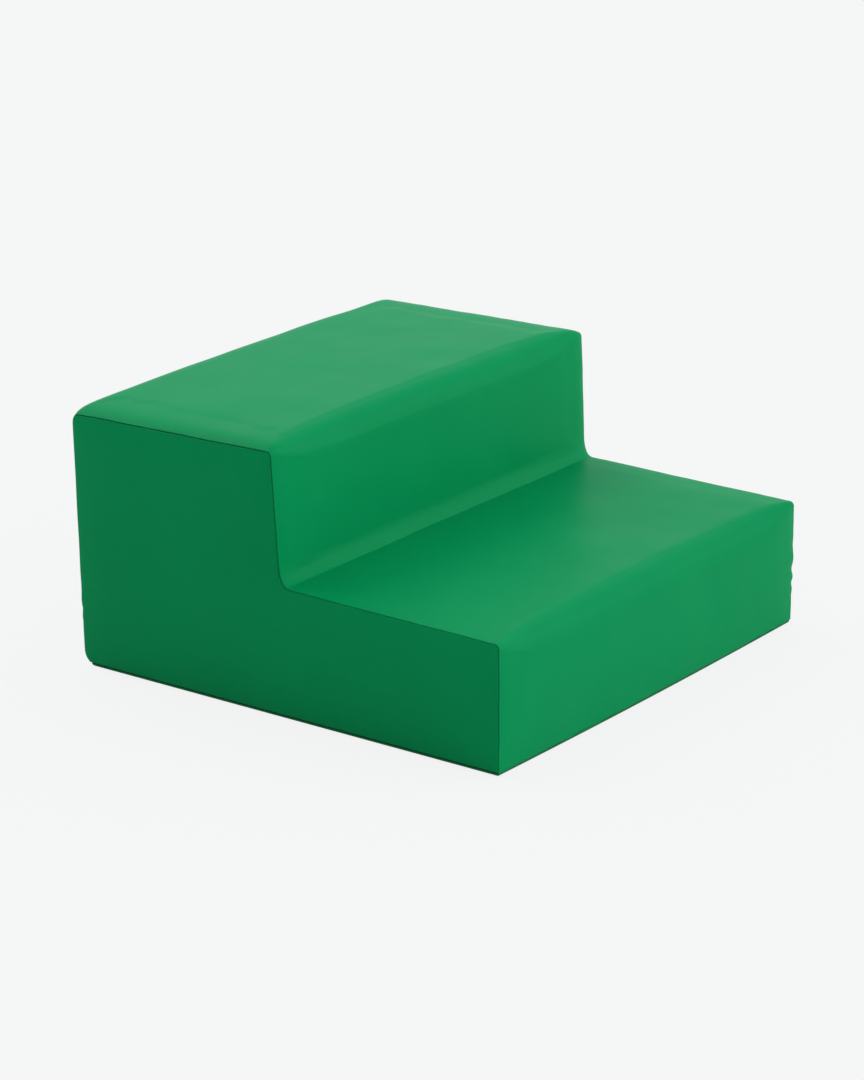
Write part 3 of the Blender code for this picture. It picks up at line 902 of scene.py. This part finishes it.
def wrap_path(x, depth):
    """From the turned hem at the front's bottom over both steps, and down the back to the zip."""
    radius = cover().seam_radius
    bottom = BASE_SEAM_HEIGHT + GAP + depth
    front, fold = front_runs(x, depth, bottom + radius)
    edge = front[0][0]
    start = arc((edge + radius, bottom + radius), radius, -QUARTER, -math.pi, ROLL_STEPS)
    runs, back_start = upper_runs(x, depth)
    end = ZIP_HEIGHT + ZIP_SLOT / 2
    back = back_run(x, depth, back_start, end + radius, True)
    edge_at_zip = back_at(x, end, depth)
    hem = arc((edge_at_zip - radius, end + radius), radius, 0, -QUARTER, ROLL_STEPS)
    steps = [*front, *fold, *tread_run(x, depth), *foot_run(x, depth), *runs, *back]
    return [(edge + ALLOWANCE, bottom), *start, *steps, *hem, (edge_at_zip - radius, end)]


def strip_path(x, depth):
    """The strip from the zip down to the base, hemmed at the zip."""
    radius = cover().seam_radius
    top, bottom = ZIP_HEIGHT - ZIP_SLOT / 2, BASE_SEAM_HEIGHT + GAP + depth
    heel, floor = heel_run(x, depth, bottom)
    edge = back_at(x, top, depth)
    hem = arc((edge - radius, top - radius), radius, QUARTER, 0, ROLL_STEPS)
    shares = graded(ZIP_HEIGHT / 2, True, False)
    back = between((edge, top - radius), heel[0], shares)
    return [*hem, *back, *heel, floor]


def side_outline(depth):
    """A side panel's outline in the seams' plane, this far in from its edge, as a closed ring."""
    x, bottom = HALF_WIDTH, BASE_SEAM_HEIGHT + GAP + depth
    front, fold = front_runs(x, depth, bottom)
    runs, back_start = upper_runs(x, depth)
    heel, heel_end = heel_run(x, depth, bottom)
    back = back_run(x, depth, back_start, heel[0][1], True)
    foot = foot_run(x, depth)
    floor = between(heel_end, front[0], graded(SEAM_DEPTH, True, True))
    return front + fold + tread_run(x, depth) + foot + runs + back + heel + floor


def closed_ring(shape, places, index):
    """A closed ring of numbered vertices at these places, and its edges."""
    ring = [shape.verts.new(place) for place in places]
    for i, vert in enumerate(ring):
        vert[index] = i
    return ring, [shape.edges.new(pair) for pair in zip(ring, ring[1:] + ring[:1])]


def next_ring(shape, edges):
    """The vertices and edges of a new ring, extruded from a ring's edges."""
    made = bmesh.ops.extrude_edge_only(shape, edges=edges)["geom"]
    ring = [item for item in made if isinstance(item, bmesh.types.BMVert)]
    fresh = set(ring)
    edges = [item for item in made if isinstance(item, bmesh.types.BMEdge)]
    return ring, [edge for edge in edges if set(edge.verts) <= fresh]


MIDDLE_INSET = 24 * MM


def side_rings(shape, side, seam, along):
    """Draw a side panel's rings from its turned edge inwards, and return the last ring's edges."""
    shift = GAP / math.sqrt(2)
    index = shape.verts.layers.int.new("index")
    places = [(side * HALF_WIDTH, y, z) for y, z in side_outline(shift)]
    ring, edges = closed_ring(shape, places, index)
    for vert, length in zip(ring, running_lengths([vert.co for vert in ring])):
        vert[along] = length
    for number, (inset, sunk) in enumerate(panel_rows(MIDDLE_INSET)):
        if number:
            ring, edges = next_ring(shape, edges)
        outline = side_outline(inset + shift)
        for vert in ring:
            vert.co = (side * (HALF_WIDTH - sunk), *outline[vert[index]])
            vert[seam] = inset if sunk == 0 else 0.0
    return edges


def side_sheet(name, side, material):
    """A side panel: rings round its edge, and a squared middle."""
    shape = bmesh.new()
    seam = shape.verts.layers.float.new("seam_distance")
    along = shape.verts.layers.float.new("along")
    edges = side_rings(shape, side, seam, along)
    inner = shape.faces.layers.int.new("inner")
    middle = bmesh.ops.contextual_create(shape, geom=edges)["faces"][0]
    middle[inner] = 1
    cut_squares(shape, inner)
    for vert in shape.verts:
        x, y, z = vert.co
        if abs(x) >= HALF_WIDTH - cover().seam_radius / 2:
            x += side * side_rise(y, z)
        vert.co = settled(x, y, z)
    shape.normal_update()
    if sum(face.normal.x for face in shape.faces) * side < 0:
        bmesh.ops.reverse_faces(shape, faces=shape.faces)
    raise_sheet(shape, seam, along, seam)
    piece = add_piece(name, shape, material)
    thicken(piece, cover().thickness)
    return piece


# A square's side, as a share of the mesh's cell
SQUARE_SHARE = 1.5


def cut_squares(shape, inner):
    """Cut the middle of a side panel into squares."""
    cell = cover().cell * SQUARE_SHARE
    cuts = []
    for low, high, normal in ((FRONT_LINE, BACK_LINE, (0, 1, 0)), (0.0, SEAM_HEIGHT, (0, 0, 1))):
        count = round((high - low) / cell)
        cuts += [(Vector(normal) * (low + (high - low) * i / count), normal) for i in range(1, count)]
    for place, normal in cuts:
        faces = [face for face in shape.faces if face[inner]]
        edges = dict.fromkeys(edge for face in faces for edge in face.edges)
        verts = dict.fromkeys(vert for face in faces for vert in face.verts)
        geom = [*verts, *edges, *faces]
        bmesh.ops.bisect_plane(shape, geom=geom, dist=GAP, plane_co=place, plane_no=normal)


def declare_panel(node):
    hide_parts(node)


class ClimberSides(bpy.types.Operator):
    """Make the two L-shaped side panels."""

    bl_idname = "climber.sides"
    bl_label = "Side panels"

    def execute(self, context):
        vinyl = finished(vinyl_finish)
        for side, word in ((-1, "left"), (1, "right")):
            piece = side_sheet(f"side_vinyl_{word}", side, vinyl)
            declare_panel(f"{word}_side_panel")
        return {"FINISHED"}


class ClimberWraps(bpy.types.Operator):
    """Make the panels that wrap round the steps and the back."""

    bl_idname = "climber.wraps"
    bl_label = "Wrap panels"

    def execute(self, context):
        vinyl = finished(vinyl_finish)
        wraps = (
            ("wrap_vinyl", wrap_path, "wrap_panel"),
            ("back_strip_vinyl", strip_path, "back_lower_strip"),
        )
        for name, path_at, node in wraps:
            piece, length = wrap_sheet(name, path_at, vinyl)
            declare_panel(node)
        return {"FINISHED"}


def finished(build):
    """The material that this function builds, made the first time that it is asked for."""
    return bpy.data.materials.get(build.__name__) or build()


JOIN_REACH, FLAT_ANGLE = 0.01 * MM, math.radians(1)


def merged_copy(node):
    """A bmesh of a CAD node, with its loose triangles joined and its flat faces whole."""
    shape = bmesh.new()
    shape.from_mesh(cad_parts[node].data)
    bmesh.ops.remove_doubles(shape, verts=shape.verts, dist=JOIN_REACH)
    bmesh.ops.dissolve_limit(shape, angle_limit=FLAT_ANGLE, verts=shape.verts, edges=shape.edges)
    for layer in list(shape.loops.layers.uv.values()):
        shape.loops.layers.uv.remove(layer)
    return shape


FOAM_SLACK = 1.2 * MM


def fitted_foam(word, material):
    """A foam block that keeps just inside the cover, and follows the skew of its riser."""
    shape = merged_copy(f"foam_{word}_block")
    bmesh.ops.triangulate(shape, faces=shape.faces)
    shape.normal_update()
    places = []
    for vert in shape.verts:
        x, y, z = vert.co
        high, behind = upper_shares(y, z)
        skew = -LEAN_SKEW * x / HALF_WIDTH * high * (1 - behind)
        places.append(vert.co + Vector((0, skew, 0)) - vert.normal * FOAM_SLACK)
    for vert, place in zip(shape.verts, places):
        vert.co = place
    return add_piece(f"foam_block_{word}", shape, material)


class ClimberFoam(bpy.types.Operator):
    """Make the two glued blocks of foam under the cover."""

    bl_idname = "climber.foam"
    bl_label = "Foam blocks"

    def execute(self, context):
        foam = finished(foam_finish)
        for word in ("lower", "upper"):
            piece = fitted_foam(word, foam)
            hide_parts(f"foam_{word}_block")
        return {"FINISHED"}


# The base

BASE_CORNER = 3 * MM
# How much further in the base reaches the floor along its back
HEEL_RUN = 2 * MM
CORNER_STEPS = 6
BASE_EDGE_CELLS = 48
SHORT_STRETCH = 40 * MM
BASE_THICKNESS = 0.9 * MM
# The base's edge, as (how far in, how high as a share of its seam's height)
BASE_PROFILE = (
    (5.0 * MM, 0.99),
    (1.6 * MM, 0.97),
    (1.0 * MM, 0.90),
    (0.9 * MM, 0.80),
    (1.1 * MM, 0.62),
    (1.6 * MM, 0.42),
    (2.5 * MM, 0.24),
    (3.8 * MM, 0.10),
    (5.5 * MM, 0.02),
    (7.5 * MM, 0.0),
)


def edge_shares(start, end):
    """Even shares along a stretch of the base's outline, with one cell to a short stretch."""
    count = BASE_EDGE_CELLS if math.dist(start, end) > SHORT_STRETCH else 1
    return [i / count for i in range(count)]


def base_outline(inset, height):
    """The base's outline at this inset and height share, as a ring with rounded corners."""
    radius = max(BASE_CORNER - inset, SMALLEST_FOLD)
    half = HALF_WIDTH - inset
    front = FRONT_LINE + inset
    back = BACK_LINE - HEEL_REACH - inset - HEEL_RUN * (1 - height)
    corners = ((-half, front, 2), (half, front, 3), (half, back, 0), (-half, back, 1))
    ring = []
    for x, y, quarter in corners:
        centre = (x - math.copysign(radius, x), y - math.copysign(radius, y))
        first = quarter * QUARTER
        ring += arc(centre, radius, first, first + QUARTER, CORNER_STEPS)
        ring.append(arc(centre, radius, first + QUARTER, first, 1)[0])
    closed = zip(ring, ring[1:] + ring[:1])
    return [point for start, end in closed for point in between(start, end, edge_shares(start, end))]


def base_sheet(material):
    """The base fabric, shaped by extruding its outline down its edge and across the floor."""
    shape = bmesh.new()
    index = shape.verts.layers.int.new("index")
    inset, height = BASE_PROFILE[0]
    places = [settled(x, y, BASE_SEAM_HEIGHT * height) for x, y in base_outline(inset, height)]
    ring, edges = closed_ring(shape, places, index)
    for inset, height in BASE_PROFILE[1:]:
        ring, edges = next_ring(shape, edges)
        outline = base_outline(inset, height)
        for vert in ring:
            vert.co = settled(*outline[vert[index]], BASE_SEAM_HEIGHT * height)
    bmesh.ops.contextual_create(shape, geom=edges)
    bmesh.ops.recalc_face_normals(shape, faces=shape.faces)
    if min(shape.faces, key=lambda face: face.calc_center_median().z).normal.z > 0:
        bmesh.ops.reverse_faces(shape, faces=shape.faces)
    piece = add_piece("base_cloth", shape, material)
    thicken(piece, BASE_THICKNESS)
    return piece


class ClimberBase(bpy.types.Operator):
    """Make the base fabric, in the cover's green darkened as painted shade."""

    bl_idname = "climber.base"
    bl_label = "Base"

    def execute(self, context):
        piece = base_sheet(finished(base_finish))
        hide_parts("base_panel")
        return {"FINISHED"}


# Sewing

STITCH_PITCH, STITCH_LENGTH, THREAD_RADIUS = 4.2 * MM, 3.4 * MM, 0.30 * MM
STITCH_SIDES, STITCH_RINGS = 6, 5
SEAM_SINK_SHARE = 1.55
HEM_MARGIN = 3.5 * MM


def walk(points):
    """Places at the stitches' pitch along a run of points, each with the direction there."""
    places, left = [], STITCH_PITCH / 2
    for first, second in zip(points, points[1:]):
        length = (second - first).length
        while left <= length:
            places.append((first.lerp(second, left / length), (second - first).normalized()))
            left += STITCH_PITCH
        left -= length
    return places


def stitch_pattern():
    """A stitch lying along Z: a short thread that dips into the fabric at both ends."""
    shape = bmesh.new()
    bmesh.ops.create_uvsphere(
        shape, u_segments=STITCH_SIDES, v_segments=STITCH_RINGS, radius=THREAD_RADIUS
    )
    for vert in shape.verts:
        vert.co.z *= STITCH_LENGTH / (2 * THREAD_RADIUS)
    return mesh_of("stitch", shape)


def add_stitch(shape, place, along, out):
    """Add a stitch at this place, turned along its seam."""
    across = along.cross(out).normalized()
    turn = Matrix((across, along.cross(across), along)).transposed().to_4x4()
    stitch = bpy.data.meshes["stitch"].copy()
    stitch.transform(Matrix.Translation(place) @ turn)
    shape.from_mesh(stitch)
    bpy.data.meshes.remove(stitch)


def seam_stitches(shape, side):
    """The stitches that show in the groove all round a side panel."""
    sink = cover().seam_radius * SEAM_SINK_SHARE
    x = side * (HALF_WIDTH - sink)
    ring = [settled(x, y, z) for y, z in side_outline(sink)]
    for place, along in walk(ring + ring[:1]):
        out = Vector((side, -along.z, along.y)).normalized()
        add_stitch(shape, place, along, out)


def floor_stitches(shape, y, way):
    """The stitches along the bottom of the front or the back, where the wrap meets the base."""
    sink = cover().seam_radius * SEAM_SINK_SHARE
    reach = HALF_WIDTH - ALLOWANCE
    shares = [i / BASE_EDGE_CELLS for i in range(BASE_EDGE_CELLS + 1)]
    xs = [reach * (2 * share - 1) for share in shares]
    for place, along in walk([settled(x, y - way * sink, BASE_SEAM_HEIGHT) for x in xs]):
        add_stitch(shape, place, along, Vector((0, way, 0)))


def hem_stitches(shape, piece, z):
    """A row of topstitching along a hem at the zip, laid on the panel's own surface."""
    panel = bmesh.new()
    panel.from_mesh(piece.data)
    surface = BVHTree.FromBMesh(panel)
    panel.free()
    reach = HALF_WIDTH - 2 * ALLOWANCE
    for place, along in walk([Vector((x, BACK_LINE, z)) for x in (-reach, reach)]):
        spot, normal = surface.find_nearest(place)[:2]
        add_stitch(shape, spot, along, normal)


class ClimberStitching(bpy.types.Operator):
    """Sew the seams, and topstitch the hems beside the zip."""

    bl_idname = "climber.stitching"
    bl_label = "Stitching"

    def execute(self, context):
        thread = finished(thread_finish)
        pattern = stitch_pattern()
        seams = bmesh.new()
        for side in (-1, 1):
            seam_stitches(seams, side)
        floor_stitches(seams, FRONT_LINE, -1)
        floor_stitches(seams, BACK_LINE - HEEL_REACH, 1)
        add_piece("seam_thread", seams, thread)
        hems = bmesh.new()
        reach = ZIP_SLOT / 2 + HEM_MARGIN
        hem_stitches(hems, bpy.data.objects["wrap_vinyl"], ZIP_HEIGHT + reach)
        hem_stitches(hems, bpy.data.objects["back_strip_vinyl"], ZIP_HEIGHT - reach)
        add_piece("hem_thread", hems, thread)
        bpy.data.meshes.remove(pattern)
        return {"FINISHED"}


# The zip

TAPE_RIB, TAPE_RIB_PITCH = 0.10 * MM, 1.9 * MM
TAPE_CELL = 6 * MM
TAPE_REACH = HALF_WIDTH - 2.5 * MM
TAPE_ROWS = 32
WIRE_RADIUS = 0.32 * MM
COIL_PITCH = 1.5 * MM
COIL_STEPS = 10
HEAD_OVERLAP = 0.8 * MM
METAL_EDGE = 0.22 * MM
METAL_SHARP_ANGLE = SMOOTH_ANGLE / 2


def tape_sheet(word, material):
    """One woven tape of the zip, with the fine ribs that run along it."""
    low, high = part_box(f"zip_tape_{word}")
    thickness = high.y - low.y
    shape = bmesh.new()
    columns = round(2 * TAPE_REACH / TAPE_CELL)
    bmesh.ops.create_grid(shape, x_segments=columns, y_segments=TAPE_ROWS, size=1.0)
    for vert in shape.verts:
        x = TAPE_REACH * vert.co.x
        z = low.z + (high.z - low.z) * (vert.co.y + 1) / 2
        rib = math.cos(2 * math.pi * (z - low.z) / TAPE_RIB_PITCH)
        vert.co = (x, high.y - TAPE_RIB * (1 - rib) / 2, z)
    piece = add_piece(f"zip_{word}_tape_cloth", shape, material)
    face_out(piece, Vector((0, 1, 0)))
    thicken(piece, thickness - TAPE_RIB)
    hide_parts(f"zip_tape_{word}")


def face_out(piece, way):
    """Turn a sheet's faces round where they point against this way."""
    shape = bmesh.new()
    shape.from_mesh(piece.data)
    if sum((face.normal for face in shape.faces), Vector()).dot(way) < 0:
        bmesh.ops.reverse_faces(shape, faces=shape.faces)
    shape.to_mesh(piece.data)
    shape.free()


def wire_mesh(places):
    """A mesh of round wire through these places."""
    curve = bpy.data.curves.new("coil", "CURVE")
    curve.dimensions = "3D"
    curve.bevel_depth = WIRE_RADIUS
    curve.bevel_resolution = 1
    curve.use_fill_caps = True
    spline = curve.splines.new("POLY")
    spline.points.add(len(places) - 1)
    for point, place in zip(spline.points, places):
        point.co = (*place, 1.0)
    winding = bpy.data.objects.new("coil", curve)
    mesh = bpy.data.meshes.new_from_object(winding)
    bpy.data.objects.remove(winding)
    bpy.data.curves.remove(curve)
    return mesh


def coil_places(low, high, side):
    """Places along one coil's wire, whose turns pass between the other coil's."""
    inner = ZIP_HEIGHT - side * HEAD_OVERLAP
    outer = high.z if side > 0 else low.z
    middle_z, reach_z = (inner + outer) / 2, abs(outer - inner) / 2 - WIRE_RADIUS
    middle_y, reach_y = (low.y + high.y) / 2, (high.y - low.y) / 2 - WIRE_RADIUS
    start, end = low.x + WIRE_RADIUS + COIL_PITCH / 2, high.x - WIRE_RADIUS - COIL_PITCH / 2
    steps = round((end - start) / COIL_PITCH) * COIL_STEPS
    shift = 0.0 if side > 0 else math.pi
    places = []
    for i in range(steps + 1):
        angle = 2 * math.pi * i / COIL_STEPS + shift
        y, z = middle_y + reach_y * math.sin(angle), middle_z + reach_z * math.cos(angle)
        places.append((start + (end - start) * i / steps, y, z))
    return places


def coil_wire(word, side, material):
    """One half of the chain: a nylon wire, wound round."""
    mesh = wire_mesh(coil_places(*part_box(f"zip_coil_{word}"), side))
    shape = bmesh.new()
    shape.from_mesh(mesh)
    bpy.data.meshes.remove(mesh)
    bmesh.ops.remove_doubles(shape, verts=shape.verts, dist=WIRE_RADIUS / 100)
    bmesh.ops.recalc_face_normals(shape, faces=shape.faces)
    piece = add_piece(f"zip_{word}_coil_wire", shape, material)
    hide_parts(f"zip_coil_{word}")


def metal_piece(node, body):
    """A zip part with its edges rounded, riding on its body."""
    shape = merged_copy(node)
    piece = add_piece(f"{node}_metal", shape, finished(metal_finish))
    if body != "root":
        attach(piece, body)
    bevel = piece.modifiers.new("Edges", "BEVEL")
    bevel.width = METAL_EDGE
    bevel.segments = 2
    bevel.limit_method = "ANGLE"
    bevel.angle_limit = METAL_SHARP_ANGLE
    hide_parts(node)


class ClimberZip(bpy.types.Operator):
    """Make the zip's tapes, coils, slider, pull and stops."""

    bl_idname = "climber.zip"
    bl_label = "Zip"

    def execute(self, context):
        for word, side in (("upper", 1), ("lower", -1)):
            tape_sheet(word, finished(tape_finish))
            coil_wire(word, side, finished(nylon_finish))
        for name in ("zip_top_stop_upper", "zip_top_stop_lower", "zip_bottom_stop"):
            metal_piece(name, "root")
        for name in ("zip_slider", "zip_pull"):
            metal_piece(name, name)
        return {"FINISHED"}


# The studio

FLOOR_RADIUS, FLOOR_SIDES = 40.0, 96
FLOOR_COLOUR = (0.75, 0.75, 0.75, 1.0)
# How much of what the camera sees of the floor is an even glow
GLOW_SHARE = 0.93
SKY_COLOUR = (0.72, 0.80, 0.87)
SKY_LEVEL, SKY_TILT, SKY_RISE = 0.76, 0.71, 0.50
# Each soft light's name, strength, spread and the direction it comes from
LIGHTS = (
    ("front_light", 1.30, math.radians(60), (0.50, -0.84, 0.21)),
    ("back_light", 1.10, math.radians(50), (0.0, 0.79, 0.61)),
)


def floor_finish():
    """Pale floor that takes shadows, and that the camera sees mostly as one even glow."""
    finish = Finish("floor")
    finish.set("Base Color", FLOOR_COLOUR)
    finish.gloss(0.9, 0.0)
    level = stage().floor_level
    glow = finish.add("ShaderNodeEmission", None, {"Color": (level, level, level, 1.0)}).out()
    rays = finish.add("ShaderNodeLightPath")
    seen = rays.out("Is Camera Ray") + rays.out("Is Glossy Ray") + rays.out("Is Transmission Ray")
    lit = Term(finish, finish.shader.outputs[0])
    sockets = {"Fac": seen.clamped() * GLOW_SHARE, 1: lit, 2: glow}
    mixed = finish.add("ShaderNodeMixShader", None, sockets).out()
    finish.link(mixed, finish.tree.nodes["Material Output"].inputs["Surface"])
    return finish.material


def add_floor():
    """A wide pale floor that the camera sees at one even level, with the climber's shadow on it."""
    shape = bmesh.new()
    bmesh.ops.create_circle(shape, cap_ends=True, segments=FLOOR_SIDES, radius=FLOOR_RADIUS)
    floor = placed("floor", mesh_of("floor", shape))
    floor.data.materials.append(floor_finish())


def add_world():
    """A studio whose brightness grows to the right and overhead."""
    world = bpy.data.worlds.new("studio")
    bpy.context.scene.world = world
    world.use_nodes = True
    nodes = Nodes(world.node_tree)
    background = nodes.tree.nodes["Background"].inputs
    way = nodes.add("ShaderNodeTexCoord").out("Generated")
    parts = nodes.add("ShaderNodeSeparateXYZ", None, {"Vector": way})
    level = parts.out("X") * SKY_TILT + SKY_LEVEL + parts.out("Z") * SKY_RISE
    nodes.link((*SKY_COLOUR, 1.0), background["Color"])
    nodes.link(level, background["Strength"])


def add_lights():
    for name, strength, spread, source in LIGHTS:
        lamp = bpy.data.lights.new(name, "SUN")
        lamp.energy = strength
        lamp.angle = spread
        light = placed(name, lamp)
        light.rotation_euler = Vector(source).to_track_quat("Z", "Y").to_euler()


TARGET = Vector((0, RISER_LINE, TREAD_HEIGHT + TREAD_CROWN / 2))
# How far from the target the camera's axis passes, to the right and up
TARGET_RIGHT, TARGET_UP = -9.9 * MM, -22.9 * MM


def add_camera():
    """The camera at the photograph's viewing angle."""
    s = stage()
    a, e = s.azimuth, s.elevation
    back = Vector((math.sin(a) * math.cos(e), -math.cos(a) * math.cos(e), math.sin(e)))
    level = Vector((math.cos(a), math.sin(a), 0.0))
    upright = back.cross(level)
    right = level * math.cos(s.roll) + upright * math.sin(s.roll)
    up = upright * math.cos(s.roll) - level * math.sin(s.roll)
    target = TARGET + level * TARGET_RIGHT + upright * TARGET_UP
    camera = placed("camera", bpy.data.cameras.new("camera"))
    camera.data.lens = s.lens
    turn = Matrix((right, up, back)).transposed().to_4x4()
    camera.matrix_world = Matrix.Translation(target + back * s.distance) @ turn
    bpy.context.scene.camera = camera


class ClimberStudio(bpy.types.Operator):
    """Make the floor, the lights and the camera."""

    bl_idname = "climber.studio"
    bl_label = "Studio"

    def execute(self, context):
        add_floor()
        add_world()
        add_lights()
        add_camera()
        context.scene.view_settings.view_transform = "Standard"
        return {"FINISHED"}


class CLIMBER_PT_panel(bpy.types.Panel):
    """The climber's settings and its pieces."""

    bl_label = "Foam climber"
    bl_space_type = "VIEW_3D"
    bl_region_type = "UI"
    bl_category = "Climber"

    def draw(self, context):
        layout = self.layout
        for group in (context.scene.climber_cover, context.scene.climber_stage):
            box = layout.box()
            for key in group.bl_rna.properties.keys():
                if key not in ("rna_type", "name"):
                    box.prop(group, key)
        for operator in OPERATORS:
            layout.operator(operator.bl_idname)


OPERATORS = (
    ClimberFoam,
    ClimberSides,
    ClimberWraps,
    ClimberBase,
    ClimberStitching,
    ClimberZip,
    ClimberStudio,
)
CLASSES = (ClimberCover, ClimberStage, *OPERATORS, CLIMBER_PT_panel)


def register():
    for item in CLASSES:
        bpy.utils.register_class(item)
    bpy.types.Scene.climber_cover = PointerProperty(type=ClimberCover)
    bpy.types.Scene.climber_stage = PointerProperty(type=ClimberStage)


def unregister():
    del bpy.types.Scene.climber_stage
    del bpy.types.Scene.climber_cover
    for item in reversed(CLASSES):
        bpy.utils.unregister_class(item)


def main():
    noise.seed_set(WOBBLE_SEED)
    register()
    bpy.ops.climber.foam()
    bpy.ops.climber.sides()
    bpy.ops.climber.wraps()
    bpy.ops.climber.base()
    bpy.ops.climber.stitching()
    bpy.ops.climber.zip()
    bpy.ops.climber.studio()


if __name__ == "__main__":
    main()
